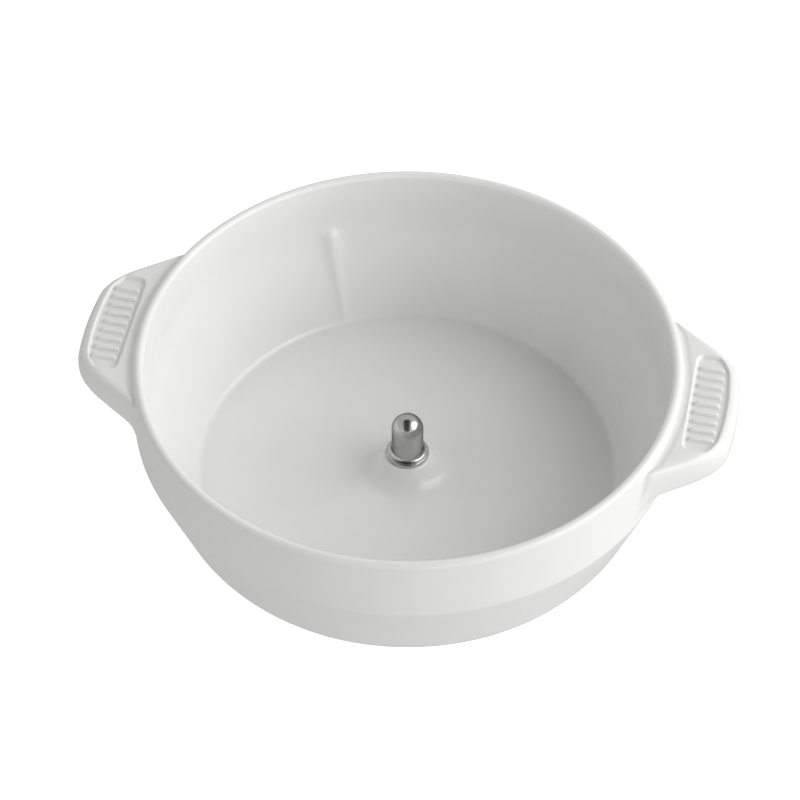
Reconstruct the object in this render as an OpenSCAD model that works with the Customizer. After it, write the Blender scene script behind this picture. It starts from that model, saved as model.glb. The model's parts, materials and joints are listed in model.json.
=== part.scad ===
// Round ceramic dish with two lug handles and a domed steel post in the middle of its floor.
// The origin is on the surface that the dish stands on, below the middle of the floor.
// The handles lie on the X axis. All sizes are in millimetres.

/* [Rim and wall] */
// Outside diameter at the rim
rim_d = 150.4; // [146:0.2:151]
// Overall height
dish_h = 51.5; // [48:0.5:58]
// Thickness of the rim
rim_t = 2.8; // [2.4:0.2:4]
// Outside diameter at the shoulder, where the wall turns in
shoulder_d = 151.6; // [150:0.2:154]
// Height of the outside shoulder
shoulder_z = 32.5; // [28:0.5:36]
// Inward lean of the wall below the shoulder, in degrees
lower_lean = 20; // [16:1:24]
// Radius of the rounded corner between the wall and the base
base_round = 13; // [9:1:16]

/* [Floor and foot] */
// Height of the inside floor
floor_z = 6.5; // [5.5:0.5:8]
// Inside diameter where the wall meets the floor
floor_d = 119.2; // [112:0.2:124]
// Fillet radius round the edge of the floor
floor_fillet = 2.5; // [2:0.5:8]
// Height of the base above the foot ring's face
base_z = 1.5; // [1:0.1:2]
// Outside diameter of the foot ring
foot_d = 104; // [96:1:106]
// Width of the foot ring
foot_w = 6; // [4:0.5:9]
// Height of the recess inside the foot ring
recess_z = 2.5; // [1.5:0.1:3]

/* [Boss] */
// Height of the boss's top face
boss_z = 12; // [10.5:0.1:12.5]
// Diameter of the boss's top face
boss_top_d = 13; // [12.8:0.1:14]
// Diameter of the boss where it meets the floor
boss_foot_d = 20.5; // [18:0.5:26]
// Diameter of the pocket under the boss
pocket_d = 15; // [14:0.5:16]
// Height of the pocket's ceiling
pocket_z = 7.4; // [7:0.1:7.8]
// Diameter of the hole for the stud
stud_hole_d = 5.8; // [5.4:0.1:6.4]

/* [Handles] */
// How far each handle stands out from the wall
lug_out = 15.8; // [12:0.2:20]
// Height of a handle's top face
lug_top_z = 49.6; // [47:0.2:50]
// Height of a handle's underside
lug_bottom_z = 39.8; // [36:0.2:41]
// Half angle of the handle's full-width part, in degrees
lug_full_angle = 7.2; // [4:0.2:10]
// Half angle at which the handle has run out into the wall, in degrees
lug_end_angle = 26.5; // [20:0.5:30]
// Radial depth of the handle's rounded nose
lug_nose = 5.6; // [4:0.2:8]
// Squareness of the nose, where 2 is a half ellipse
lug_squareness = 2.9; // [2:0.1:4]
// Depth of the panel sunk into a handle's top face
panel_depth = 1; // [0.6:0.1:1.6]
// Length of that panel along the handle
panel_l = 36; // [30:1:38]
// Width of the border between the panel and the handle's outer edge
panel_border = 2.8; // [2.2:0.1:4]
// Number of grip ribs in each panel
grip_count = 9; // [3:1:9]

/* [Wall rib] */
// Angle of the rib round the dish, anticlockwise from the right-hand handle
rib_angle = 119; // [100:0.5:140]
// Radius of the rib's upper end
rib_top_r = 3.6; // [2:0.1:4]
// Radius of the rib's lower end
rib_foot_r = 0.9; // [0.5:0.1:1.5]

/* [Post] */
// Diameter of the post
post_d = 9; // [8:0.1:10]
// Height of the post's side, from the collar to the start of the dome
post_side_h = 9; // [6:0.1:14]
// Radius of the hollow curve in which the side runs out into the post's foot
post_foot_round = 1.1; // [0.6:0.1:1.1]
// Diameter of the collar
collar_d = 12; // [11.6:0.1:12.6]
// Thickness of the collar at its edge
collar_t = 0.8; // [0.6:0.1:1]
// Diameter of the threaded stud below the post
stud_d = 5; // [5]

/* [Seals and fasteners] */
// Thickness of the seal under the collar
seal_t = 0.4; // [0.3:0.1:0.6]
// Thickness of the gasket under the boss
gasket_t = 1; // [0.8:0.1:1.2]
// Thickness of the flat washer
washer_t = 1; // [0.8:0.1:1.2]
// Thickness of the spring washer
spring_t = 1.2; // [1:0.1:1.4]
// Thickness of the nut
nut_t = 2.7; // [2.7]
// Width of the nut across its flats
nut_flats = 8; // [8]

/* [Hidden] */

$fn = 96;
rim_r = rim_d / 2;
shoulder_r = shoulder_d / 2;
floor_r = floor_d / 2;
foot_r = foot_d / 2;
eps = 0.01;

// Inside of the wall: straight from the rim to the inside shoulder, then sloping to the floor
inner_r = rim_r - rim_t;
inner_shoulder_z = shoulder_z + 1;
inner_shoulder_round = 22;
shoulder_round = 4;
foot_round = 0.8;
foot_flare = 1;
// Radius at which the sloping outside wall would meet the plane of the base
base_r = shoulder_r - tan(lower_lean) * (shoulder_z - base_z);

boss_edge_round = 1.5;
boss_foot_round = 7;

// Handles
lug_root_r = rim_r - 1.5;
lug_wall_r = rim_r - 0.5;
lug_span = 30;
lug_step = 2;
nose_steps = 14;
// Largest share of the handle's section that the nose takes where the handle runs out
nose_share = 0.8;
// The panel's straight inner edge and its ribs, as distances from the dish's axis
panel_x = rim_r + 2.4;
grip_x = panel_x + 1.3;
panel_round = 2.5;
grip_w = 1.4;
grip_l = 7.2;
grip_h = 0.8;
grip_pitch = 3.3;

// Wall rib
rib_foot_z = floor_z + 3.5;
rib_top_z = inner_shoulder_z - 3;
rib_sink = 0.62;

// Stack on the stud, from the boss's top face up and from the pocket's ceiling down
collar_z = boss_z + seal_t;
post_z = collar_z + collar_t;
dome_z = post_z + post_side_h;
post_r = post_d / 2;
post_foot_r = post_r + post_foot_round;
post_foot_edge = 0.2;
gasket_z = pocket_z - gasket_t;
washer_z = gasket_z - washer_t;
spring_z = washer_z - spring_t;
nut_z = spring_z - nut_t;
stud_end_z = nut_z - 0.7;
stud_chamfer = 0.5;
stud_gap = 0.05;
seal_d = collar_d - 1.2;
gasket_d = pocket_d - 1.6;
washer_d = 10;
spring_d = 9.2;
spring_w = 2.05;
spring_slot = 0.9;
collar_edge = 0.35;

// Points of an arc that rounds the corner p between the points a and b
function unit(v) = v / norm(v);
function corner(a, p, b, radius, steps) =
    let (
        u = unit(a - p),
        v = unit(b - p),
        half = acos(u * v) / 2,
        centre = p + unit(u + v) * radius / sin(half),
        from = p + u * radius / tan(half) - centre,
        to = p + v * radius / tan(half) - centre,
        start = atan2(from.y, from.x),
        turn = atan2(from.x * to.y - from.y * to.x, from * to)
    )
    [for (i = [0:steps])
        centre + radius * [cos(start + turn * i / steps), sin(start + turn * i / steps)]];

// An outline of [x, y, corner radius] points, with each corner rounded
function rounded(points, steps = 10) =
    let (last = len(points) - 1)
    [for (i = [0:last])
        let (
            a = points[i == 0 ? last : i - 1],
            p = points[i],
            b = points[i == last ? 0 : i + 1],
            flat = [p.x, p.y]
        )
        each p.z == 0 ? [flat] : corner([a.x, a.y], flat, [b.x, b.y], p.z, steps)];

// Half section of the bowl, from the axis along the underside, up the wall and back over the floor
bowl_section = [
    [0, recess_z, 0],
    [foot_r - foot_w - foot_flare, recess_z, foot_round],
    [foot_r - foot_w, 0, foot_round],
    [foot_r, 0, foot_round],
    [foot_r + foot_flare, base_z, foot_round],
    [base_r, base_z, base_round],
    [shoulder_r, shoulder_z, shoulder_round],
    [rim_r, dish_h, rim_t / 2 - eps],
    [inner_r, dish_h, rim_t / 2 - eps],
    [inner_r, inner_shoulder_z, inner_shoulder_round],
    [floor_r, floor_z, floor_fillet],
    [boss_foot_d / 2, floor_z, boss_foot_round],
    [boss_top_d / 2, boss_z, boss_edge_round],
    [0, boss_z, 0]
];

function smooth(t) = let (s = min(max(t, 0), 1)) s * s * (3 - 2 * s);

// How far out a handle reaches at the angle a from its middle
function lug_reach(a) =
    lug_wall_r + (rim_r - lug_wall_r + lug_out)
        * (1 - smooth((abs(a) - lug_full_angle) / (lug_end_angle - lug_full_angle)));

function lug_point(a, r, z) = [r * cos(a), r * sin(a), z];

// A handle's section at the angle a, from its root along the underside, round the nose and back on top
function lug_section(a) =
    let (
        reach = lug_reach(a),
        nose = min(lug_nose, (reach - lug_root_r) * nose_share),
        power = 2 / lug_squareness,
        middle = (lug_top_z + lug_bottom_z) / 2,
        half = (lug_top_z - lug_bottom_z) / 2
    )
    [
        lug_point(a, lug_root_r, lug_bottom_z),
        for (i = [0:nose_steps])
            let (t = -90 + 180 * i / nose_steps)
            lug_point(
                a,
                reach - nose + nose * pow(abs(cos(t)), power),
                middle + half * sign(t) * pow(abs(sin(t)), power)
            ),
        lug_point(a, lug_root_r, lug_top_z)
    ];

module lug_body() {
    rings = [for (a = [-lug_span:lug_step:lug_span]) lug_section(a)];
    count = len(rings[0]);
    last = len(rings) - 1;
    sides = [for (j = [0:last - 1]) for (i = [0:count - 1])
        let (k = (i + 1) % count)
        each [
            [j * count + i, j * count + k, (j + 1) * count + k],
            [j * count + i, (j + 1) * count + k, (j + 1) * count + i]
        ]];
    near_end = [for (i = [0:count - 1]) count - 1 - i];
    far_end = [for (i = [0:count - 1]) last * count + i];
    polyhedron(points = [for (ring = rings) each ring], faces = concat(sides, [near_end], [far_end]));
}

// The panel sunk into a handle's top face: straight beside the rim, and outside at one distance from the edge
module lug_panel() {
    outer_edge = [for (a = [-lug_span:lug_step / 2:lug_span])
        (lug_reach(a) - panel_border) * [cos(a), sin(a)]];
    translate([0, 0, lug_top_z - panel_depth])
        linear_extrude(panel_depth + 1)
            offset(r = panel_round)
                offset(delta = -panel_round)
                    intersection() {
                        polygon(concat([[0, 0]], outer_edge));
                        translate([panel_x, -panel_l / 2])
                            square([lug_out, panel_l]);
                    }
}

module grip_ribs() {
    for (i = [0:grip_count - 1])
        translate([
            grip_x,
            (i - (grip_count - 1) / 2) * grip_pitch - grip_w / 2,
            lug_top_z - panel_depth - eps
        ])
            cube([grip_l, grip_w, grip_h + eps]);
}

module handle() {
    difference() {
        lug_body();
        lug_panel();
    }
    grip_ribs();
}

// Low rib that widens up the sloping part of the inner wall
module wall_rib() {
    slope = (inner_r - floor_r) / (inner_shoulder_z - floor_z);
    foot = [floor_r + slope * (rib_foot_z - floor_z) + rib_sink * rib_foot_r, 0, rib_foot_z];
    top = [floor_r + slope * (rib_top_z - floor_z) + rib_sink * rib_top_r, 0, rib_top_z];
    run = norm(top - foot);
    intersection() {
        rotate([0, 0, rib_angle])
            translate(foot)
                rotate([0, atan2(top.x - foot.x, top.z - foot.z), 0]) {
                    cylinder(h = run, r1 = rib_foot_r, r2 = rib_top_r, $fn = 48);
                    translate([0, 0, run])
                        sphere(r = rib_top_r, $fn = 48);
                }
        cylinder(h = dish_h, r = inner_r + rim_t / 2);
    }
}

module dish() {
    color("ivory")
        difference() {
            union() {
                rotate_extrude()
                    polygon(rounded(bowl_section));
                wall_rib();
                for (side = [0, 180])
                    rotate([0, 0, side])
                        handle();
            }
            cylinder(h = pocket_z, d = pocket_d);
            cylinder(h = boss_z + 1, d = stud_hole_d);
        }
}

module center_post() {
    color("silver") {
        intersection() {
            union() {
                translate([0, 0, post_z])
                    cylinder(h = post_side_h, d = post_d);
                translate([0, 0, dome_z])
                    sphere(d = post_d);
            }
            translate([0, 0, post_z])
                cylinder(h = post_side_h + post_r, d = post_d + 1);
        }
        post_foot();
        translate([0, 0, stud_end_z + stud_chamfer])
            cylinder(h = post_z - stud_end_z - stud_chamfer, d = stud_d);
        translate([0, 0, stud_end_z])
            cylinder(h = stud_chamfer, d1 = stud_d - 2 * stud_chamfer, d2 = stud_d);
    }
}

// Foot of the post, which widens in a hollow curve to a thin edge on the collar
module post_foot() {
    translate([0, 0, post_z])
        rotate_extrude()
            difference() {
                square([post_foot_r, post_foot_edge + post_foot_round]);
                translate([post_foot_r, post_foot_edge + post_foot_round])
                    circle(r = post_foot_round);
            }
}

module post_collar() {
    collar_section = [
        [stud_d / 2 + stud_gap, collar_z, 0],
        [collar_d / 2, collar_z, collar_edge],
        [collar_d / 2, post_z, collar_edge],
        [stud_d / 2 + stud_gap, post_z, 0]
    ];
    color("silver")
        rotate_extrude()
            polygon(rounded(collar_section));
}

module ring(outer_r, inner_r, z, height) {
    translate([0, 0, z])
        difference() {
            cylinder(h = height, r = outer_r);
            translate([0, 0, -1])
                cylinder(h = height + 2, r = inner_r);
        }
}

module collar_seal() {
    color("whitesmoke")
        ring(seal_d / 2, stud_d / 2 + stud_gap, boss_z, seal_t);
}

module boss_gasket() {
    color("whitesmoke")
        ring(gasket_d / 2, stud_d / 2 + stud_gap, gasket_z, gasket_t);
}

module flat_washer() {
    color("silver")
        ring(washer_d / 2, stud_d / 2 + stud_gap, washer_z, washer_t);
}

module spring_washer() {
    color("gray")
        difference() {
            ring(spring_d / 2, spring_d / 2 - spring_w, spring_z, spring_t);
            translate([0, -spring_slot / 2, spring_z - 1])
                cube([spring_d, spring_slot, spring_t + 2]);
        }
}

module hex_nut() {
    color("silver")
        translate([0, 0, nut_z])
            difference() {
                intersection() {
                    cylinder(h = nut_t, d = nut_flats / cos(30), $fn = 6);
                    nut_chamfer();
                }
                translate([0, 0, -1])
                    cylinder(h = nut_t + 2, d = stud_d + 2 * stud_gap);
            }
}

// Two cones that take the corners off the ends of the nut
module nut_chamfer() {
    corner_r = nut_flats / cos(30) / 2;
    face_r = nut_flats / 2;
    drop = (corner_r - face_r) * tan(30);
    cylinder(h = drop, r1 = face_r, r2 = corner_r + eps);
    translate([0, 0, drop])
        cylinder(h = nut_t - 2 * drop, r = corner_r + eps);
    translate([0, 0, nut_t - drop])
        cylinder(h = drop, r1 = corner_r + eps, r2 = face_r);
}

dish();
center_post();
post_collar();
collar_seal();
boss_gasket();
flat_washer();
spring_washer();
hex_nut();
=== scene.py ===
import json
import math

import bpy
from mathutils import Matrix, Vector, noise


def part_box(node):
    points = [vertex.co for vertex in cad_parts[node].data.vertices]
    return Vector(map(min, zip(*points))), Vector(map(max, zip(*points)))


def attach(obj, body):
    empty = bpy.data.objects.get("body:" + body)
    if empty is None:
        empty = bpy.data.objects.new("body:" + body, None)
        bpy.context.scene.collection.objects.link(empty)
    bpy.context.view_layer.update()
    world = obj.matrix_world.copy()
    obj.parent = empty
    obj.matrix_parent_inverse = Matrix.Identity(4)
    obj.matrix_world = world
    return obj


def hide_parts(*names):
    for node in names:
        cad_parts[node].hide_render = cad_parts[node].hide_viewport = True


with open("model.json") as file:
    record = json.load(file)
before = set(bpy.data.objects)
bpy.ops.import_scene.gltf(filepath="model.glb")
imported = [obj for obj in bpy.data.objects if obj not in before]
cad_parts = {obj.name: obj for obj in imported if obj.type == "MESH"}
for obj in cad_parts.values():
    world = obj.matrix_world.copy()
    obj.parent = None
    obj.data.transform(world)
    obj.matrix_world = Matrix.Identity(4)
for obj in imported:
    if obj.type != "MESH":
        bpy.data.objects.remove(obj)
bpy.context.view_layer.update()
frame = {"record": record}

MM = 0.001

# Lengths that differ by less than NEAR count as the same, and TINY keeps a divisor above 0
NEAR = 1e-6
TINY = 1e-9

# ---- The frame's own sizes ------------------------------------------------------------------------

dish_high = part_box("dish")[1]
post_low, post_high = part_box("center_post")
collar_low, collar_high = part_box("post_collar")
seal_low, seal_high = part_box("collar_seal")
gasket_low, gasket_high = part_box("boss_gasket")
washer_low, washer_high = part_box("flat_washer")
spring_low, spring_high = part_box("spring_washer")
nut_low, nut_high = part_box("hex_nut")
mounts = {mount["name"]: mount for mount in frame["record"]["mounts"]}

DISH_H = dish_high.z
LUG_REACH = dish_high.x
SHOULDER_R = dish_high.y
BOSS_Z = seal_low.z
POCKET_Z = gasket_high.z
POST_R = mounts["post"]["dims"]["r_mm"] * MM

# ---- Sizes of the dish, which follow the CAD model's ----------------------------------------------

RIM_R = SHOULDER_R - 0.6 * MM
RIM_T = 2.8 * MM
RIM_ROUND = RIM_T / 2 - 0.01 * MM
INNER_R = RIM_R - RIM_T
SHOULDER_Z = 32.5 * MM
SHOULDER_ROUND = 4 * MM
INNER_SHOULDER_Z = SHOULDER_Z + 1 * MM
INNER_SHOULDER_ROUND = 22 * MM
LOWER_LEAN = math.radians(20)
FLOOR_Z = 6.5 * MM
FLOOR_R = 59.6 * MM
FLOOR_FILLET = 2.5 * MM
BASE_Z = 1.5 * MM
BASE_R = SHOULDER_R - math.tan(LOWER_LEAN) * (SHOULDER_Z - BASE_Z)
BASE_ROUND = 13 * MM
FOOT_R = 52 * MM
FOOT_W = 6 * MM
FOOT_FLARE = 1 * MM
FOOT_ROUND = 0.8 * MM
RECESS_Z = 2.5 * MM
BOSS_TOP_R = 6.5 * MM
BOSS_EDGE_ROUND = 1.5 * MM
BOSS_FOOT_R = 10.25 * MM
BOSS_FOOT_ROUND = 7 * MM
POCKET_R = 7.5 * MM
POCKET_EDGE_ROUND = 0.6 * MM
POCKET_END_ROUND = 0.4 * MM
STUD_HOLE_R = 2.9 * MM
STUD_HOLE_ROUND = 0.3 * MM

# Handles. A sunk panel in the top face starts on a straight line beside the rim. Angles are in degrees,
# and a handle's shape is complete where it stands out by LUG_RUN_OUT, or its groove by LUG_RISE_REACH
LUG_TOP_Z = 49.6 * MM
LUG_BOTTOM_Z = 39.8 * MM
LUG_FULL_ANGLE = 7.2
LUG_END_ANGLE = 26.5
LUG_STRAIGHT_ANGLE = 15.5
LUG_STRAIGHT_FADE = 10
LUG_NOSE = 5.6 * MM
LUG_SQUARENESS = 2.9
LUG_GROOVE = 1.6 * MM
LUG_GROOVE_DEPTH = 0.2 * MM
LUG_GROOVE_RISE = 1.2 * MM
LUG_FILLET = 5 * MM
LUG_RISE_REACH = 6 * MM
LUG_SPLIT = 2.2 * MM
LUG_RUN_OUT = 2 * MM
PANEL_X = RIM_R + 2.4 * MM
PANEL_HALF = 18 * MM
PANEL_ROUND = 2.5 * MM
PANEL_BORDER = 2.8 * MM
PANEL_DEPTH = 1 * MM
PANEL_EDGE = 0.8 * MM
GRIP_COUNT = 9
GRIP_PITCH = 3.3 * MM
GRIP_X = PANEL_X + 1.3 * MM
GRIP_L = 7.2 * MM
GRIP_H = 0.85 * MM
GRIP_W = 1.7 * MM
GRIP_EDGE = 0.5 * MM
GRIPS_HALF = GRIP_PITCH * (GRIP_COUNT - 1) / 2

# Rib on the sloping part of the inner wall: a cone sunk in it by RIB_SINK of its radius
RIB_ANGLE = 119
RIB_FOOT_Z = FLOOR_Z + 2.6 * MM
RIB_TOP_Z = INNER_SHOULDER_Z - 3 * MM
RIB_FOOT_R = 0.9 * MM
RIB_TOP_R = 3.6 * MM
RIB_SINK = 0.62
RIB_BLEND = 0.9 * MM


# ---- Small helpers --------------------------------------------------------------------------------

def smooth(t):
    """0 below 0, 1 above 1, and an S-curve between."""
    t = min(max(t, 0.0), 1.0)
    return t * t * (3 - 2 * t)


def spread(start, end, count):
    """count evenly spaced numbers from start up to but not including end."""
    return [start + (end - start) * i / count for i in range(count)]


def fillet(a, p, b, radius, steps):
    """Points of the arc that rounds the corner p between the points a and b."""
    a, p, b = Vector(a[:2]), Vector(p[:2]), Vector(b[:2])
    u, v = (a - p).normalized(), (b - p).normalized()
    half = math.acos(max(-1, min(1, u.dot(v)))) / 2
    centre = p + (u + v).normalized() * radius / math.sin(half)
    first = p + u * radius / math.tan(half) - centre
    last = p + v * radius / math.tan(half) - centre
    start = math.atan2(first.y, first.x)
    turn = math.atan2(first.x * last.y - first.y * last.x, first.dot(last))
    angles = [start + turn * i / steps for i in range(steps + 1)]
    return [tuple(centre + radius * Vector((math.cos(t), math.sin(t)))) for t in angles]


def rounded(corners, closed=False):
    """An outline of (r, z, radius, steps) corners, each rounded. An open outline keeps its ends."""
    count, points = len(corners), []
    for i, corner in enumerate(corners):
        if not closed and i in (0, count - 1):
            points.append(tuple(corner[:2]))
            continue
        points += fillet(corners[i - 1], corner, corners[(i + 1) % count], corner[2], corner[3])
    return points


def subdivided(points, longest):
    """The same outline with extra points, so that no straight stretch is longer than longest."""
    out = [points[0]]
    for a, b in zip(points, points[1:]):
        parts = max(1, math.ceil(math.dist(a, b) / longest))
        out += [tuple(Vector(a).lerp(Vector(b), k / parts)) for k in range(1, parts + 1)]
    return out


def ring_faces(rows, columns):
    """Quads of a grid whose columns close round the axis, and whose last row joins the first."""
    faces = []
    for i in range(rows):
        k = (i + 1) % rows
        for j in range(columns):
            n = (j + 1) % columns
            faces.append((i * columns + j, i * columns + n, k * columns + n, k * columns + j))
    return faces


def add_piece(name, verts, faces, material, node):
    """A smooth mesh piece that rides on the one body and stands for a CAD node."""
    mesh = bpy.data.meshes.new(name)
    mesh.from_pydata(verts, [], faces)
    mesh.validate()
    mesh.polygons.foreach_set("use_smooth", [True] * len(mesh.polygons))
    mesh.materials.append(material)
    piece = bpy.data.objects.new(name, mesh)
    bpy.context.scene.collection.objects.link(piece)
    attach(piece, "root")
    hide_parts(node)
    return piece


def lathe(name, outline, columns, material, node, closed=True, wobble=None):
    """A turned piece. A point on the axis becomes one vertex. wobble moves a point outward and upward."""
    verts, index = [], []
    for r, z in outline:
        if r < NEAR:
            index.append([len(verts)] * columns)
            verts.append((0, 0, z))
            continue
        index.append(list(range(len(verts), len(verts) + columns)))
        for j in range(columns):
            a = 2 * math.pi * j / columns
            dr, dz = wobble(r, z, a) if wobble else (0, 0)
            verts.append(((r + dr) * math.cos(a), (r + dr) * math.sin(a), z + dz))
    faces = []
    rows = len(outline)
    for i in range(rows if closed else rows - 1):
        lower, upper = index[i], index[(i + 1) % rows]
        for j in range(columns):
            n = (j + 1) % columns
            face = []
            for v in (lower[j], lower[n], upper[n], upper[j]):
                if v not in face:
                    face.append(v)
            if len(face) > 2:
                faces.append(face)
    return add_piece(name, verts, faces, material, node)


# ---- The dish -------------------------------------------------------------------------------------

RIM_SIDE_Z = DISH_H - RIM_T / 2
LUG_MIDDLE_Z = (LUG_TOP_Z + LUG_BOTTOM_Z) / 2
LUG_HALF_H = (LUG_TOP_Z - LUG_BOTTOM_Z) / 2

# The most of a handle's reach that its groove, nose, fillet and the nose's upper end may take
GROOVE_SHARE = 0.25
NOSE_SHARE = 0.6
FILLET_SHARE = 0.35
SPLIT_SHARE = 0.3

# The glaze's slight unevenness, which starts outside EVEN_R, and how its noise is placed
EVEN_R = BOSS_FOOT_R + 5 * MM
UNEVEN_SCALE = 38
UNEVEN_R = 0.06 * MM
UNEVEN_Z = 0.04 * MM
UNEVEN_OFFSET = Vector((5.2, 1.3, 9.7))

# The section starts in the stud hole, below the boss's top, and has no straight stretch over a step
STUD_HOLE_START = 0.8 * MM
INSIDE_STEP = 2 * MM
OUTSIDE_STEP = 4 * MM

# Rows of a handle's grid. Those of the ribs and the panel spread out evenly beyond them
GROOVE_STEPS = 7
NOSE_STEPS = 14
FILLET_STEPS = 7
UNDER_ROWS = 4
RIB_ROWS = 4
BORDER_ROWS = 6
EDGE_STEPS = (0, 0.12, 0.25, 0.4, 0.55, 0.7, 0.85, 1)
RIBS_FADE = 1 * MM
PANEL_MARGIN = 0.5 * MM
PANEL_FADE = 3 * MM

# Columns of the dish's grid: places across half a grip rib in mm, margins, counts, and the rounds of the
# search for a column's angle at a handle's tip
HALF_GRIP_STEPS = (0.15, 0.35, 0.48, 0.6, 0.72, 0.85, 1.05, 1.35)
BEYOND_RIBS = 1.7 * MM
BEYOND_PANEL = 0.6 * MM
BEYOND_LUG_ANGLE = 2
COLUMN_GAP_ANGLE = 0.9
RIB_SIDE_ANGLE = 5
PANEL_END_COLUMNS = 14
LUG_END_COLUMNS = 20
BACK_RIGHT_COLUMNS = 34
RIB_COLUMNS = 20
BACK_LEFT_COLUMNS = 12
FRONT_COLUMNS = 54
TIP_ROUNDS = 6

# The inner wall's slope, along which the rib runs, and the height above which it has no effect
WALL_UP = Vector((INNER_R - FLOOR_R, INNER_SHOULDER_Z - FLOOR_Z)).normalized()
WALL_INWARD = Vector((-WALL_UP.y, WALL_UP.x))
RIB_REACH_Z = DISH_H - 3 * MM


def wall_r(z):
    """Outside radius of the upper wall, which leans in a little towards the rim."""
    return RIM_R + (SHOULDER_R - RIM_R) * (DISH_H - z) / (DISH_H - SHOULDER_Z)


def lug_out(a):
    """How far a handle stands out from the wall at the angle a from its middle, in degrees."""
    share = smooth((abs(a) - LUG_FULL_ANGLE) / (LUG_END_ANGLE - LUG_FULL_ANGLE))
    return (LUG_REACH - RIM_R) * (1 - share)


def column_angle(a, r):
    """Angle at the radius r of the column that leaves the wall at a. Columns over a panel run straight."""
    straight = math.degrees(math.asin(RIM_R * math.sin(math.radians(a)) / r))
    return a + (straight - a) * (1 - smooth((abs(a) - LUG_STRAIGHT_ANGLE) / LUG_STRAIGHT_FADE))


def panel_drop(x, y, to_edge):
    """How far the sunk panel and its ribs lower a handle's top face at (x, y), to_edge inside its edge."""
    across = PANEL_X + PANEL_ROUND - x
    along = abs(y) - PANEL_HALF + PANEL_ROUND
    inside = PANEL_ROUND - math.hypot(max(across, 0), max(along, 0)) - min(max(across, along), 0)
    panel = smooth(inside / PANEL_EDGE) * smooth(to_edge / PANEL_EDGE)
    most = (GRIP_COUNT - 1) / 2
    nearest = min(max(round(y / GRIP_PITCH), -most), most)
    ends = smooth((x - GRIP_X) / GRIP_EDGE) * smooth((GRIP_X + GRIP_L - x) / GRIP_EDGE)
    side = smooth((GRIP_W / 2 - abs(y - nearest * GRIP_PITCH)) / GRIP_EDGE)
    return PANEL_DEPTH * panel - GRIP_H * ends * side


def top_rows(y, groove, out, split):
    """Distances from the wall of the rows on a handle's top face, dense at the panel's and ribs' edges."""
    panel = [PANEL_X + e * PANEL_EDGE for e in EDGE_STEPS]
    ribs = [GRIP_X + e * GRIP_EDGE for e in EDGE_STEPS]
    ribs += spread(GRIP_X + GRIP_EDGE, GRIP_X + GRIP_L - GRIP_EDGE, RIB_ROWS)[1:]
    ribs += [GRIP_X + GRIP_L - e * GRIP_EDGE for e in reversed(EDGE_STEPS)]
    panel = [math.hypot(x, y) - RIM_R for x in panel]
    ribs = [math.hypot(x, y) - RIM_R for x in ribs]
    outer = [out - PANEL_BORDER - e * PANEL_EDGE for e in reversed(EDGE_STEPS)]
    plain = spread(panel[-1], outer[0], len(ribs) + 1)[1:]
    beyond_ribs = smooth((abs(y) - GRIPS_HALF - GRIP_W / 2) / RIBS_FADE)
    ribs = [row + (flat - row) * beyond_ribs for row, flat in zip(ribs, plain)]
    rows = spread(groove, panel[0], BORDER_ROWS) + panel + ribs + outer
    even = spread(groove, split, len(rows))
    beyond_panel = smooth((abs(y) - PANEL_HALF - PANEL_MARGIN) / PANEL_FADE)
    return [row + (flat - row) * beyond_panel for row, flat in zip(rows, even)] + [split]


def lug_groove(groove):
    """The hollow, groove wide, from the rim's outer side down to a handle's top face."""
    groove_z = LUG_TOP_Z - LUG_GROOVE_DEPTH
    turns = [math.pi / 2 * (i + 0.5) / GROOVE_STEPS for i in range(GROOVE_STEPS)]
    fall = RIM_SIDE_Z - groove_z
    return [(groove * (1 - math.cos(t)), RIM_SIDE_Z - fall * math.sin(t)) for t in turns]


def lug_top(a, groove, out, nose, split):
    """The top face of a handle in the column a, with its sunk panel and ribs, as far as split."""
    rise = LUG_GROOVE_RISE * min(1, out / LUG_RISE_REACH) + TINY
    points = []
    for x in top_rows(RIM_R * math.sin(math.radians(a)), groove, out, split):
        in_nose = max(0, (x - out + nose) / nose)
        drop = LUG_HALF_H * (1 - max(0, 1 - in_nose ** LUG_SQUARENESS) ** (1 / LUG_SQUARENESS))
        drop += LUG_GROOVE_DEPTH * (1 - smooth((x - groove) / rise))
        r, angle = RIM_R + x, math.radians(column_angle(a, RIM_R + x))
        drop += panel_drop(r * math.cos(angle), r * math.sin(angle), out - PANEL_BORDER - x)
        points.append((x, LUG_TOP_Z - drop))
    return points


def lug_nose(out, nose, split):
    """The squarish rounded outer side of a handle, from split down to its underside."""
    in_nose = max(0, (split - out + nose) / nose)
    first = math.acos(min(1, in_nose ** (LUG_SQUARENESS / 2)))
    power = 2 / LUG_SQUARENESS
    points = []
    for i in range(1, NOSE_STEPS + 1):
        turn = first - (first + math.pi / 2) * i / NOSE_STEPS
        outward = max(0, math.cos(turn)) ** power
        up = math.copysign(abs(math.sin(turn)) ** power, turn)
        points.append((out - nose + nose * outward, LUG_MIDDLE_Z + LUG_HALF_H * up))
    return points


def lug_under(out, nose):
    """The flat underside of a handle and the fillet that joins it to the wall."""
    under = min(LUG_FILLET, FILLET_SHARE * out)
    points = [(x, LUG_BOTTOM_Z) for x in spread(out - nose, under, UNDER_ROWS)[1:]]
    for i in range(FILLET_STEPS + 1):
        turn = math.pi / 2 * i / FILLET_STEPS
        points.append((under * (1 - math.sin(turn)), LUG_BOTTOM_Z - LUG_FILLET * (1 - math.cos(turn))))
    return points


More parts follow.
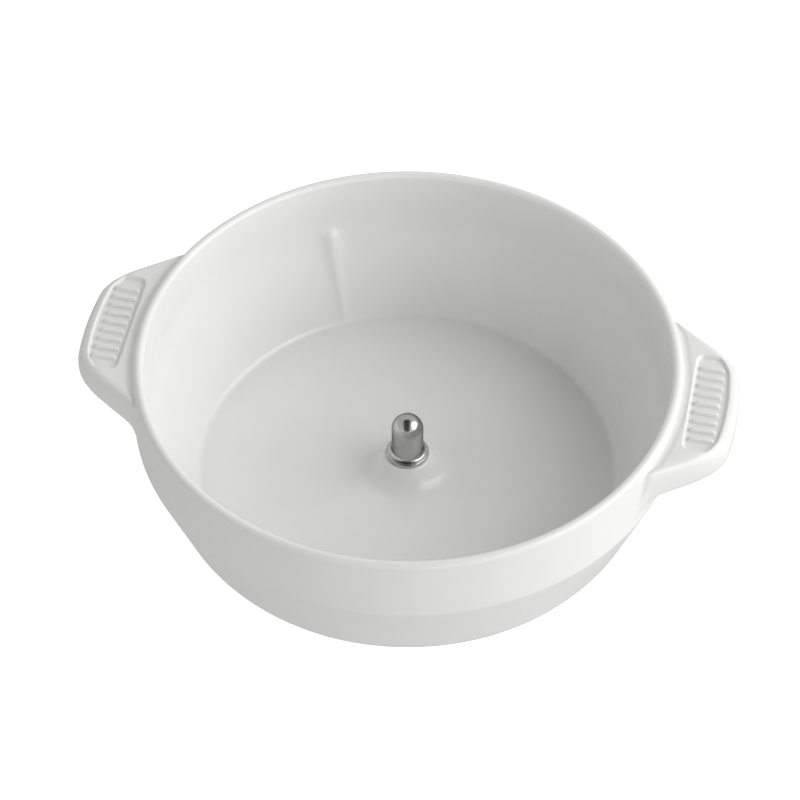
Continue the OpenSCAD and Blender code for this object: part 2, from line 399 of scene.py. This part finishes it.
def lug_section(a):
    """The outer wall from below the rim, round a handle, as (distance from the wall, height) points.

    Beyond the ends of the handle its points are spread evenly down the plain wall. tip is the angle
    at which the column reaches the handle's outer edge, which is found in a few rounds.
    """
    tip = a
    for _ in range(TIP_ROUNDS):
        tip = column_angle(a, RIM_R + lug_out(tip))
    out = lug_out(tip)
    groove = min(LUG_GROOVE, GROOVE_SHARE * out)
    nose = min(LUG_NOSE, NOSE_SHARE * out) + TINY
    split = out - min(LUG_SPLIT, SPLIT_SHARE * out)
    points = lug_groove(groove) + lug_top(a, groove, out, nose, split)
    points += lug_nose(out, nose, split) + lug_under(out, nose)
    full = smooth(out / LUG_RUN_OUT)
    last = len(points) - 1
    fall = points[-1][1] - RIM_SIDE_Z
    plain = [RIM_SIDE_Z + fall * (i + 0.5) / (last + 0.5) for i in range(last + 1)]
    return [(x, z * full + p * (1 - full)) for (x, z), p in zip(points, plain)]


def rib_height(r, z, a):
    """How far the rib stands out from the sloping inner wall at a point of it."""
    slope = (INNER_R - FLOOR_R) / (INNER_SHOULDER_Z - FLOOR_Z)
    foot = Vector((FLOOR_R + slope * (RIB_FOOT_Z - FLOOR_Z) + RIB_SINK * RIB_FOOT_R, RIB_FOOT_Z))
    top = Vector((FLOOR_R + slope * (RIB_TOP_Z - FLOOR_Z) + RIB_SINK * RIB_TOP_R, RIB_TOP_Z))
    axis = top - foot
    length = axis.length
    axis.normalize()
    away = Vector((r, z)) - foot
    along = away.dot(axis)
    off = away - axis * along
    side = math.radians((a - RIB_ANGLE + 180) % 360 - 180) * r
    radius = RIB_FOOT_R + (RIB_TOP_R - RIB_FOOT_R) * min(max(along / length, 0), 1)
    beyond = max(0, along - length, -along)
    depth = radius - math.sqrt(off.length_squared + side * side + beyond * beyond)
    return (depth + math.sqrt(depth * depth + RIB_BLEND * RIB_BLEND)) / 2


def lug_columns():
    """Angles of the columns across one handle where they leave the wall, in degrees from its middle."""
    places = []
    for i in range(GRIP_COUNT):
        middle = (i - (GRIP_COUNT - 1) / 2) * GRIP_PITCH
        places += [middle + side * step * MM for side in (-1, 1) for step in HALF_GRIP_STEPS]
    panel_end = PANEL_HALF + BEYOND_PANEL
    lug_end = RIM_R * math.sin(math.radians(LUG_END_ANGLE + BEYOND_LUG_ANGLE))
    beyond = spread(GRIPS_HALF + BEYOND_RIBS, panel_end, PANEL_END_COLUMNS)
    beyond += spread(panel_end, lug_end, LUG_END_COLUMNS)
    places += beyond + [-y for y in beyond]
    return sorted(math.degrees(math.asin(y / RIM_R)) for y in places)


def dish_columns():
    """Angles of all columns of the dish, in degrees."""
    offsets = lug_columns()
    edge = offsets[-1]
    rib_right, rib_left = RIB_ANGLE - RIB_SIDE_ANGLE, RIB_ANGLE + RIB_SIDE_ANGLE
    columns = offsets + [180 + x for x in offsets]
    columns += spread(edge + COLUMN_GAP_ANGLE, rib_right, BACK_RIGHT_COLUMNS)
    columns += spread(rib_right, rib_left, RIB_COLUMNS)
    columns += spread(rib_left, 180 - edge, BACK_LEFT_COLUMNS)
    columns += spread(180 + edge + COLUMN_GAP_ANGLE, 360 - edge, FRONT_COLUMNS)
    return sorted(x % 360 for x in columns)


def dish_rows():
    """The section's inside, from stud hole to rim, and its outside, from the shoulder down to the hole."""
    hole = (STUD_HOLE_R, BOSS_Z - STUD_HOLE_START)
    rim_out = (RIM_R, DISH_H, RIM_ROUND, 10)
    shoulder = (SHOULDER_R, SHOULDER_Z, SHOULDER_ROUND, 10)
    inside = rounded([
        hole,
        (STUD_HOLE_R, BOSS_Z, STUD_HOLE_ROUND, 3),
        (BOSS_TOP_R, BOSS_Z, BOSS_EDGE_ROUND, 8),
        (BOSS_FOOT_R, FLOOR_Z, BOSS_FOOT_ROUND, 14),
        (FLOOR_R, FLOOR_Z, FLOOR_FILLET, 12),
        (INNER_R, INNER_SHOULDER_Z, INNER_SHOULDER_ROUND, 16),
        (INNER_R, DISH_H, RIM_ROUND, 10),
        rim_out,
        shoulder,
    ])[:-1]
    outside = rounded([
        rim_out,
        shoulder,
        (BASE_R, BASE_Z, BASE_ROUND, 16),
        (FOOT_R + FOOT_FLARE, BASE_Z, FOOT_ROUND, 5),
        (FOOT_R, 0, FOOT_ROUND, 5),
        (FOOT_R - FOOT_W, 0, FOOT_ROUND, 5),
        (FOOT_R - FOOT_W - FOOT_FLARE, RECESS_Z, FOOT_ROUND, 5),
        (POCKET_R, RECESS_Z, POCKET_EDGE_ROUND, 4),
        (POCKET_R, POCKET_Z, POCKET_END_ROUND, 3),
        (STUD_HOLE_R, POCKET_Z, STUD_HOLE_ROUND, 3),
        hole,
    ])[1:-1]
    return subdivided(inside, INSIDE_STEP), subdivided(outside, OUTSIDE_STEP)


def with_rib(r, z, angle):
    """A point of the inside, moved inward by the rib where it lies on the wall."""
    if FLOOR_R < r < INNER_R + NEAR and FLOOR_Z < z < RIB_REACH_Z:
        height = rib_height(r, z, angle)
        return r + WALL_INWARD.x * height, z + WALL_INWARD.y * height
    return r, z


def uneven(point):
    """The slight unevenness of a cast and glazed wall, outward and upward."""
    where = Vector(point) * UNEVEN_SCALE
    return noise.noise(where) * UNEVEN_R, noise.noise(where + UNEVEN_OFFSET) * UNEVEN_Z


def make_dish(material):
    """The whole ceramic as one closed grid, from the stud hole over floor, rim and handles to its foot."""
    columns = dish_columns()
    inside, outside = dish_rows()
    grid = []
    for angle in columns:
        from_lug = (angle + 90) % 180 - 90
        column = [(*with_rib(r, z, angle), 0) for r, z in inside]
        for x, z in lug_section(from_lug):
            column.append((wall_r(z) + x, z, column_angle(from_lug, RIM_R + x) - from_lug))
        column += [(r, z, 0) for r, z in outside]
        grid.append(column)
    rows = len(grid[0])
    verts = []
    for i in range(rows):
        for angle, column in zip(columns, grid):
            r, z, turn = column[i]
            a = math.radians(angle + turn)
            if r > EVEN_R and z > BASE_Z:
                dr, dz = uneven((r * math.cos(a), r * math.sin(a), z))
                r, z = r + dr, z + dz
            verts.append((r * math.cos(a), r * math.sin(a), z))
    faces = ring_faces(rows, len(columns))
    return add_piece("dish_glazed", verts, faces, material, "dish")


# ---- The post and its fasteners -------------------------------------------------------------------

STUD_R = 2.5 * MM
STUD_TIP = 0.5 * MM
BORE_R = STUD_R + 0.05 * MM

# Thread of the stud and the nut. THREAD_FADE is the stretch below the collar in which the stud's deepens
THREAD_PITCH = 0.8 * MM
THREAD_DEPTH = 0.42 * MM
THREAD_FADE = 2 * MM
THREAD_STEEPNESS = 2.6
THREAD_CREST = 0.15
THREAD_STEPS = 9
NUT_THREAD_DEPTH = 0.2 * MM

# The post's foot, the small breaks of its edges and the neck between post and stud
POST_FOOT_ROUND = 1.1 * MM
POST_FOOT_EDGE = 0.2 * MM
FOOT_BREAK_R = 0.08 * MM
FOOT_BREAK_Z = 0.06 * MM
SEAT_BREAK = 0.05 * MM
NECK_R = STUD_R + 0.1 * MM
NECK_GROOVE_R = STUD_R - 0.05 * MM
NECK_GROOVE_DEPTH = 0.15 * MM

COLLAR_TOP_ROUND = 0.36 * MM
COLLAR_UNDER_ROUND = 0.33 * MM
COLLAR_BORE_TOP_ROUND = 0.05 * MM
COLLAR_BORE_UNDER_ROUND = 0.08 * MM
SEAL_EDGE = 0.12 * MM
WASHER_EDGE = 0.12 * MM
GASKET_EDGE = 0.25 * MM

SPRING_WIRE = 2.05 * MM
SPRING_EDGE = 0.15 * MM
SPRING_HALF_GAP = 0.45 * MM
SPRING_LIFT = 0.16 * MM

NUT_FLATS_R = nut_high.y
NUT_CORNER_R = NUT_FLATS_R / math.cos(math.radians(30))
NUT_FACE_R = NUT_FLATS_R - 0.25 * MM
NUT_MOUTH = 0.3 * MM
NUT_SOFT_EDGE = 0.06 * MM

# Rows of a chamfer, as shares of its height. Its cone widens a little past the corners
CHAMFER_STEPS = (0, 0.25, 0.5, 0.75, 1, 1.6)
CONE_SPREAD = 1.12


def thread(z, a, depth):
    """Depth of a rounded screw thread at the height z and the angle a."""
    turn = (z / THREAD_PITCH - a / (2 * math.pi)) % 1.0
    return depth * smooth(abs(turn - 0.5) * THREAD_STEEPNESS - THREAD_CREST)


def make_post(material):
    """Post and stud in one: dome, straight side, foot that widens in a hollow curve, threaded stud."""
    seat_z, tip_z = collar_high.z, post_low.z
    dome_z = post_high.z - POST_R
    foot_z = seat_z + POST_FOOT_EDGE
    side_z = foot_z + POST_FOOT_ROUND
    foot_r = POST_R + POST_FOOT_ROUND
    thread_top = seal_high.z
    dome = [(POST_R * math.cos(t), dome_z + POST_R * math.sin(t)) for t in spread(0, math.pi / 2, 28)]
    outline = [(0, post_high.z), *reversed(dome)]
    outline += [(POST_R, z) for z in spread(dome_z, side_z, 10)[1:]]
    for t in spread(0, math.pi / 2, 14):
        outline.append((foot_r - POST_FOOT_ROUND * math.cos(t), side_z - POST_FOOT_ROUND * math.sin(t)))
    outline += [(foot_r - FOOT_BREAK_R, foot_z), (foot_r, foot_z - FOOT_BREAK_Z)]
    outline += [(foot_r, seat_z + SEAT_BREAK), (foot_r - SEAT_BREAK, seat_z)]
    outline += [(NECK_R, seat_z), (NECK_GROOVE_R, seat_z - NECK_GROOVE_DEPTH)]
    steps = math.ceil((thread_top - tip_z) / THREAD_PITCH * THREAD_STEPS)
    outline += [(STUD_R, z) for z in spread(thread_top, tip_z + STUD_TIP, steps)]
    outline += [(STUD_R, tip_z + STUD_TIP), (STUD_R - STUD_TIP / 2, tip_z + STUD_TIP / 2)]
    outline += [(STUD_R - STUD_TIP, tip_z), (0, tip_z)]

    def cut(r, z, a):
        """How far the thread moves a point of the stud, outward and upward."""
        if z > thread_top or abs(r - STUD_R) > NEAR:
            return 0, 0
        return -thread(z, a, THREAD_DEPTH) * smooth((thread_top - z) / THREAD_FADE), 0

    name, node, slot = "center_post_polished", "center_post", "polished_steel"
    return lathe(name, outline, 72, material, node, closed=False, wobble=cut)


def make_collar(material):
    """Thin turned collar with a rounded edge."""
    low, high, edge_r = collar_low.z, collar_high.z, collar_high.x
    outline = rounded([
        (BORE_R, low, COLLAR_BORE_UNDER_ROUND, 2),
        (edge_r, low, COLLAR_UNDER_ROUND, 6),
        (edge_r, high, COLLAR_TOP_ROUND, 7),
        (BORE_R, high, COLLAR_BORE_TOP_ROUND, 2),
    ], closed=True)
    return lathe("post_collar_polished", outline, 96, material, "post_collar")


def make_ring(node, name, low, high, edge, material):
    """Flat ring round the stud with rounded edges, such as a gasket or a washer."""
    outline = rounded([
        (BORE_R, low.z, edge, 4),
        (high.x, low.z, edge, 4),
        (high.x, high.z, edge, 4),
        (BORE_R, high.z, edge, 4),
    ], closed=True)
    return lathe(name, outline, 72, material, node)


def make_spring_washer(material):
    """Split ring of square wire, with its two ends a little apart in height."""
    low, high = spring_low.z + SPRING_LIFT, spring_high.z - SPRING_LIFT
    outer = spring_high.y
    bore = outer - SPRING_WIRE
    gap = math.asin(SPRING_HALF_GAP / outer)
    section = rounded([
        (bore, low, SPRING_EDGE, 3),
        (outer, low, SPRING_EDGE, 3),
        (outer, high, SPRING_EDGE, 3),
        (bore, high, SPRING_EDGE, 3),
    ], closed=True)
    columns, count = 80, len(section)
    verts, faces = [], []
    for j in range(columns + 1):
        a = gap + (2 * math.pi - 2 * gap) * j / columns
        rise = SPRING_LIFT * (2 * j / columns - 1)
        verts += [(r * math.cos(a), r * math.sin(a), z + rise) for r, z in section]
    for j in range(columns):
        for i in range(count):
            k = (i + 1) % count
            faces.append((j * count + i, (j + 1) * count + i, (j + 1) * count + k, j * count + k))
    faces.append(tuple(range(count)))
    faces.append(tuple(columns * count + i for i in reversed(range(count))))
    return add_piece("spring_washer_split", verts, faces, material, "spring_washer")


def nut_r(a, share):
    """Radius of the nut's side at the angle a: the hexagon, or the chamfer's cone where that is smaller.

    The cone reaches from the flats at a share of 0 to the corners at 1.
    """
    turn = (a % (math.pi / 3)) - math.pi / 6
    hexagon = NUT_FLATS_R / math.cos(turn)
    cone = NUT_FLATS_R + (NUT_CORNER_R - NUT_FLATS_R) * share
    gap = hexagon - cone
    return (hexagon + cone - math.sqrt(gap * gap + NUT_SOFT_EDGE * NUT_SOFT_EDGE)) / 2


def make_nut(material):
    """Hexagon nut with chamfered corners on both faces and a threaded bore."""
    low, high = nut_low.z, nut_high.z
    chamfer = (NUT_CORNER_R - NUT_FLATS_R) * math.tan(math.radians(30))
    columns = 144
    turns = spread(0, 2 * math.pi, columns)
    rows = [[(BORE_R + NUT_MOUTH, low)] * columns, [(NUT_FACE_R, low)] * columns]
    for end, way in ((low, 1), (high, -1)):
        ramp = [(end + way * chamfer * s, s) for s in CHAMFER_STEPS]
        for z, share in ramp[::way]:
            rows.append([(nut_r(a, share * CONE_SPREAD), z) for a in turns])
    rows += [[(NUT_FACE_R, high)] * columns, [(BORE_R + NUT_MOUTH, high)] * columns]
    steps = math.ceil((high - low) / THREAD_PITCH * THREAD_STEPS)
    for z in spread(high - NUT_MOUTH, low + NUT_MOUTH, steps) + [low + NUT_MOUTH]:
        rows.append([(BORE_R + thread(z, a, NUT_THREAD_DEPTH), z) for a in turns])
    verts = [(r * math.cos(a), r * math.sin(a), z) for row in rows for a, (r, z) in zip(turns, row)]
    faces = ring_faces(len(rows), columns)
    return add_piece("hex_nut_threaded", verts, faces, material, "hex_nut")


# ---- Materials ------------------------------------------------------------------------------------

# Colours are linear red, green and blue. A noise's scale is about the number of its cells in a metre,
# and most of its values lie from NOISE_LOW to NOISE_HIGH
NOISE_LOW = 0.3
NOISE_HIGH = 0.7
POOLED_GLAZE = (0.785, 0.785, 0.762)
THIN_GLAZE = (0.815, 0.815, 0.797)
SPECK = (0.52, 0.49, 0.42)
BARE_CLAY = (0.70, 0.67, 0.61)
BARE_ROUGHNESS = 0.82
POLISHED_TONE = (0.50, 0.50, 0.485)
PLAIN_TONE = (0.56, 0.56, 0.55)
SPRING_TONE = (0.34, 0.34, 0.35)
STEEL_EDGE_TINT = (0.45, 0.45, 0.44, 1)
STEEL_WEAR_TONE = 0.86
TURNED_LINES = 1500
TURNED_DEPTH = 0.003 * MM
BRUSHED_LINES = 2200
BRUSHED_DEPTH = 0.01 * MM
FINE_LINES = 2.7
DARK_SILICONE = (0.70, 0.70, 0.67)
LIGHT_SILICONE = (0.78, 0.78, 0.75)
DARK_FLOOR = (0.93, 0.93, 0.92)
LIGHT_FLOOR = (0.95, 0.95, 0.945)
FLOOR_ROUGHNESS = 0.6
FLOOR_GLOW = 0.6


class Maker:
    """Builds the nodes of one material or world.

    place is the texture coordinate of its patterns: the object's own metres in a material, and the
    direction that the light comes from in a world.
    """

    def __init__(self, owner, shader="Principled BSDF", place="Object"):
        owner.use_nodes = True
        self.owner = owner
        self.tree = owner.node_tree
        self.shader = self.tree.nodes[shader]
        self.place = self.tree.nodes.new("ShaderNodeTexCoord").outputs[place]

    def put(self, socket, value):
        """Links value to the socket if it is another node's output, or else sets the socket to it."""
        if isinstance(value, bpy.types.NodeSocket):
            self.tree.links.new(value, socket)
        else:
            socket.default_value = value

    def node(self, kind, inputs, **settings):
        node = self.tree.nodes.new(kind)
        for key, value in settings.items():
            setattr(node, key, value)
        for key, value in inputs.items():
            self.put(node.inputs[key], value)
        return node

    def noise(self, scale, detail, roughness, place=None):
        inputs = {"Vector": place or self.place, "Scale": scale, "Detail": detail, "Roughness": roughness}
        return self.node("ShaderNodeTexNoise", inputs).outputs["Fac"]

    def ramp(self, value, low, high, start=0.0, end=1.0):
        """value, taken from the range low to high, becomes start to end along an S-curve."""
        inputs = {"Value": value, "From Min": low, "From Max": high, "To Min": start, "To Max": end}
        return self.node("ShaderNodeMapRange", inputs, interpolation_type="SMOOTHSTEP").outputs["Result"]

    def between(self, share, a, b):
        """A number from a at a share of 0 to b at 1."""
        return self.node("ShaderNodeMix", {0: share, 2: a, 3: b}).outputs[0]

    def mix(self, share, a, b):
        """A colour from a at a share of 0 to b at 1. Each is a tuple or another node's output."""
        first, second = ((*color, 1) if isinstance(color, tuple) else color for color in (a, b))
        return self.node("ShaderNodeMix", {0: share, 6: first, 7: second}, data_type="RGBA").outputs[2]

    def math(self, operation, a, b=0.0):
        return self.node("ShaderNodeMath", {0: a, 1: b}, operation=operation).outputs[0]

    def bump(self, height, distance, strength, normal=None):
        inputs = {"Height": height, "Distance": distance, "Strength": strength}
        if normal is not None:
            inputs["Normal"] = normal
        return self.node("ShaderNodeBump", inputs).outputs["Normal"]

    def facing(self, way):
        """The cosine of the angle between the place's direction and the direction way."""
        node = self.node("ShaderNodeVectorMath", {0: self.place, 1: way}, operation="DOT_PRODUCT")
        return node.outputs["Value"]

    def parts(self):
        """The place's x, y and z."""
        return self.node("ShaderNodeSeparateXYZ", {"Vector": self.place}).outputs

    def point(self, x, y, z):
        return self.node("ShaderNodeCombineXYZ", {"X": x, "Y": y, "Z": z}).outputs[0]

    def finish(self, color, roughness, normal=None, **fixed):
        """Sets the shader's inputs. In the names of the fixed ones an underscore stands for a space."""
        self.put(self.shader.inputs["Base Color"], color)
        self.put(self.shader.inputs["Roughness"], roughness)
        if normal is not None:
            self.put(self.shader.inputs["Normal"], normal)
        for key, value in fixed.items():
            self.shader.inputs[key.replace("_", " ")].default_value = value
        return self.owner


def glaze_material():
    """White glossy glaze that pools a little warmer, with sparse specks. The foot's face is bare clay."""
    m = Maker(bpy.data.materials.new("glaze"))
    thin = m.ramp(m.noise(scale=22, detail=4, roughness=0.55), 0.32, 0.68)
    specks = m.ramp(m.noise(scale=900, detail=2, roughness=0.5), 0.76, 0.82, end=0.35)
    bare = m.ramp(m.parts()["Z"], 0.2 * MM, 0.7 * MM, start=1, end=0)
    color = m.mix(thin, POOLED_GLAZE, THIN_GLAZE)
    color = m.mix(specks, color, SPECK)
    color = m.mix(bare, color, BARE_CLAY)
    gloss = m.noise(scale=60, detail=3, roughness=0.6)
    gloss = m.ramp(gloss, NOISE_LOW, NOISE_HIGH, start=0.17, end=0.25)
    rough = m.between(bare, gloss, BARE_ROUGHNESS)
    peel = m.bump(m.noise(scale=90, detail=2, roughness=0.4), distance=0.2 * MM, strength=0.22)
    grain = m.math("MULTIPLY", m.noise(scale=1500, detail=3, roughness=0.6), bare)
    normal = m.bump(grain, distance=0.12 * MM, strength=0.8, normal=peel)
    return m.finish(color, rough, normal, IOR=1.5, Coat_Weight=0.12, Coat_Roughness=0.12)


def steel_material(name, tone, rough_low, rough_high, line_scale, line_depth):
    """Turned or brushed steel: fine rings round the axis and cloudy wear."""
    m = Maker(bpy.data.materials.new(name))
    x, y, z = m.parts()
    radius = m.node("ShaderNodeVectorMath", {0: m.point(x, y, 0.0)}, operation="LENGTH").outputs["Value"]
    lines = m.noise(line_scale, detail=2, roughness=0.6, place=m.point(radius, 0.0, z))
    fine = m.noise(FINE_LINES * line_scale, detail=2, roughness=0.6, place=m.point(0.0, 0.0, z))
    cloud = m.noise(scale=260, detail=4, roughness=0.6)
    worn = tuple(STEEL_WEAR_TONE * c for c in tone)
    color = m.mix(m.ramp(cloud, NOISE_LOW, NOISE_HIGH), worn, tone)
    wear = m.math("ADD", m.math("MULTIPLY", lines, 0.5), m.math("MULTIPLY", cloud, 0.5))
    rough = m.ramp(wear, NOISE_LOW, NOISE_HIGH, rough_low, rough_high)
    ringed = m.bump(lines, line_depth, strength=0.6)
    normal = m.bump(fine, line_depth, strength=0.5, normal=ringed)
    return m.finish(color, rough, normal, Metallic=1.0, Specular_Tint=STEEL_EDGE_TINT)


def silicone_material():
    """Matte off-white silicone with a fine moulded grain."""
    m = Maker(bpy.data.materials.new("silicone"))
    cloud = m.ramp(m.noise(scale=180, detail=3, roughness=0.5), 0.35, 0.65)
    color = m.mix(cloud, DARK_SILICONE, LIGHT_SILICONE)
    rough = m.noise(scale=700, detail=3, roughness=0.5)
    rough = m.ramp(rough, NOISE_LOW, NOISE_HIGH, start=0.42, end=0.58)
    normal = m.bump(m.noise(scale=2600, detail=3, roughness=0.6), distance=0.03 * MM, strength=0.6)
    return m.finish(color, rough, normal, Subsurface_Weight=0.15, Subsurface_Scale=1 * MM)


def floor_material():
    """Plain pale studio floor, which glows a little so that it stays even."""
    m = Maker(bpy.data.materials.new("floor_pale"))
    cloud = m.ramp(m.noise(scale=6, detail=3, roughness=0.5), NOISE_LOW, NOISE_HIGH)
    color = m.mix(cloud, DARK_FLOOR, LIGHT_FLOOR)
    return m.finish(color, FLOOR_ROUGHNESS, Emission_Color=(1, 1, 1, 1), Emission_Strength=FLOOR_GLOW)


# ---- Stage, light and camera ----------------------------------------------------------------------

# The room's brightness, from its low to its high side, for the sky and for the table below it. Where one
# thing gives way to another is the cosine of an angle, as Maker.facing gives it
SKY_TURN = math.radians(60)
SKY_RISE = math.radians(-5)
SKY_LOW = 0.71
SKY_HIGH = 1.2
TABLE_LOW = 0.5
TABLE_HIGH = 0.8
LOW_AT = -0.6
HIGH_AT = 0.9
SKY_UNTIL = 0.04
TABLE_FROM = -0.1

# The dark gap between soft boxes overhead, which keeps GAP_LEVEL of the sky's light in its middle. It is
# darkest over the share GAP_SHARP of its half width. Its other sizes are such cosines too
GAP_WIDTH = 0.7
GAP_SHARP = 0.15
GAP_SHIFT = 0.08
GAP_LEVEL = 0.1
GAP_RISE = math.radians(70)
GAP_END = 0.53
GAP_FADE = 0.3

KEY_TURN = math.radians(94)
KEY_RISE = math.radians(33)
KEY_DISTANCE = 1.2
KEY_SIZE = 1.35
KEY_POWER = 8.6

CAMERA_TURN = math.radians(10.9)
CAMERA_RISE = math.radians(47)
CAMERA_DISTANCE = 0.8808
CAMERA_LENS = 142.55
CAMERA_SENSOR = 36
CAMERA_NEAR = 0.05
CAMERA_FAR = 20
CAMERA_AIM = Vector((0, 0, DISH_H - 19.1 * MM))
CAMERA_RIGHT = -2.1 * MM
CAMERA_UP = 1.1 * MM

FLOOR_HALF = 3.0
FLOOR_DROP = 0.02 * MM


def direction(turn, rise):
    """Unit vector away from the object, turn radians from -Y towards +X and rise above the floor."""
    return Vector((math.sin(turn) * math.cos(rise), -math.cos(turn) * math.cos(rise), math.sin(rise)))


def make_camera():
    """Camera at the photograph's viewing angle."""
    back = direction(CAMERA_TURN, CAMERA_RISE)
    right = Vector((math.cos(CAMERA_TURN), math.sin(CAMERA_TURN), 0))
    up = back.cross(right)
    camera = bpy.data.objects.new("camera", bpy.data.cameras.new("camera"))
    bpy.context.scene.collection.objects.link(camera)
    camera.data.lens = CAMERA_LENS
    camera.data.sensor_width = CAMERA_SENSOR
    camera.data.clip_start, camera.data.clip_end = CAMERA_NEAR, CAMERA_FAR
    camera.location = CAMERA_AIM + back * CAMERA_DISTANCE + right * CAMERA_RIGHT + up * CAMERA_UP
    camera.rotation_mode = "QUATERNION"
    camera.rotation_quaternion = back.to_track_quat("Z", "Y")
    bpy.context.scene.camera = camera


def make_key_light():
    """One large soft round light from the right."""
    light = bpy.data.lights.new("key", "AREA")
    light.shape = "DISK"
    light.size = KEY_SIZE
    light.energy = KEY_POWER
    lamp = bpy.data.objects.new("key", light)
    away = direction(KEY_TURN, KEY_RISE)
    lamp.location = CAMERA_AIM + away * KEY_DISTANCE
    lamp.rotation_mode = "QUATERNION"
    lamp.rotation_quaternion = away.to_track_quat("Z", "Y")
    bpy.context.scene.collection.objects.link(lamp)


def make_room():
    """Soft light from all round: brighter on one side, a table below, a dark gap between soft boxes."""
    m = Maker(bpy.data.worlds.new("studio"), "Background", "Generated")
    lit_side = m.facing(direction(SKY_TURN, SKY_RISE))
    sky = m.ramp(lit_side, LOW_AT, HIGH_AT, SKY_LOW, SKY_HIGH)
    table = m.ramp(lit_side, LOW_AT, HIGH_AT, TABLE_LOW, TABLE_HIGH)
    sideways = m.facing(Vector((math.cos(CAMERA_TURN), math.sin(CAMERA_TURN), 0)))
    off_middle = m.math("ABSOLUTE", m.math("ADD", sideways, GAP_SHIFT))
    narrow = m.ramp(off_middle, GAP_WIDTH, GAP_SHARP * GAP_WIDTH)
    overhead = m.ramp(m.facing(direction(CAMERA_TURN, GAP_RISE)), GAP_END, GAP_END + GAP_FADE)
    gap = m.ramp(m.math("MULTIPLY", narrow, overhead), 0, 1, 1, GAP_LEVEL)
    below = m.ramp(m.facing(Vector((0, 0, 1))), SKY_UNTIL, TABLE_FROM)
    m.put(m.shader.inputs["Strength"], m.between(below, m.math("MULTIPLY", sky, gap), table))
    m.put(m.shader.inputs["Color"], (1, 1, 1, 1))
    bpy.context.scene.world = m.owner


def make_stage():
    """Floor, room and key light. The floor neither lights the object nor shows in its reflections."""
    half = FLOOR_HALF
    corners = [(-half, -half, 0), (half, -half, 0), (half, half, 0), (-half, half, 0)]
    mesh = bpy.data.meshes.new("floor")
    mesh.from_pydata(corners, [], [(0, 1, 2, 3)])
    mesh.materials.append(floor_material())
    floor = bpy.data.objects.new("floor", mesh)
    bpy.context.scene.collection.objects.link(floor)
    floor.location.z = -FLOOR_DROP
    floor.visible_diffuse = False
    floor.visible_glossy = False
    make_room()
    bpy.context.scene.view_settings.view_transform = "Standard"
    make_key_light()


make_camera()
make_stage()
GLAZE = glaze_material()
POLISHED = steel_material("polished_steel", POLISHED_TONE, 0.04, 0.11, TURNED_LINES, TURNED_DEPTH)
PLAIN = steel_material("plain_steel", PLAIN_TONE, 0.24, 0.40, BRUSHED_LINES, BRUSHED_DEPTH)
SPRING = steel_material("spring_steel", SPRING_TONE, 0.30, 0.48, BRUSHED_LINES, BRUSHED_DEPTH)
SILICONE = silicone_material()
make_dish(GLAZE)
make_post(POLISHED)
make_collar(POLISHED)
for node, finish, low, high, edge, material, slot in (
    ("collar_seal", "silicone", seal_low, seal_high, SEAL_EDGE, SILICONE, "silicone"),
    ("boss_gasket", "silicone", gasket_low, gasket_high, GASKET_EDGE, SILICONE, "silicone"),
    ("flat_washer", "steel", washer_low, washer_high, WASHER_EDGE, PLAIN, "plain_steel"),
):
    make_ring(node, f"{node}_{finish}", low, high, edge, material)
make_spring_washer(SPRING)
make_nut(PLAIN)
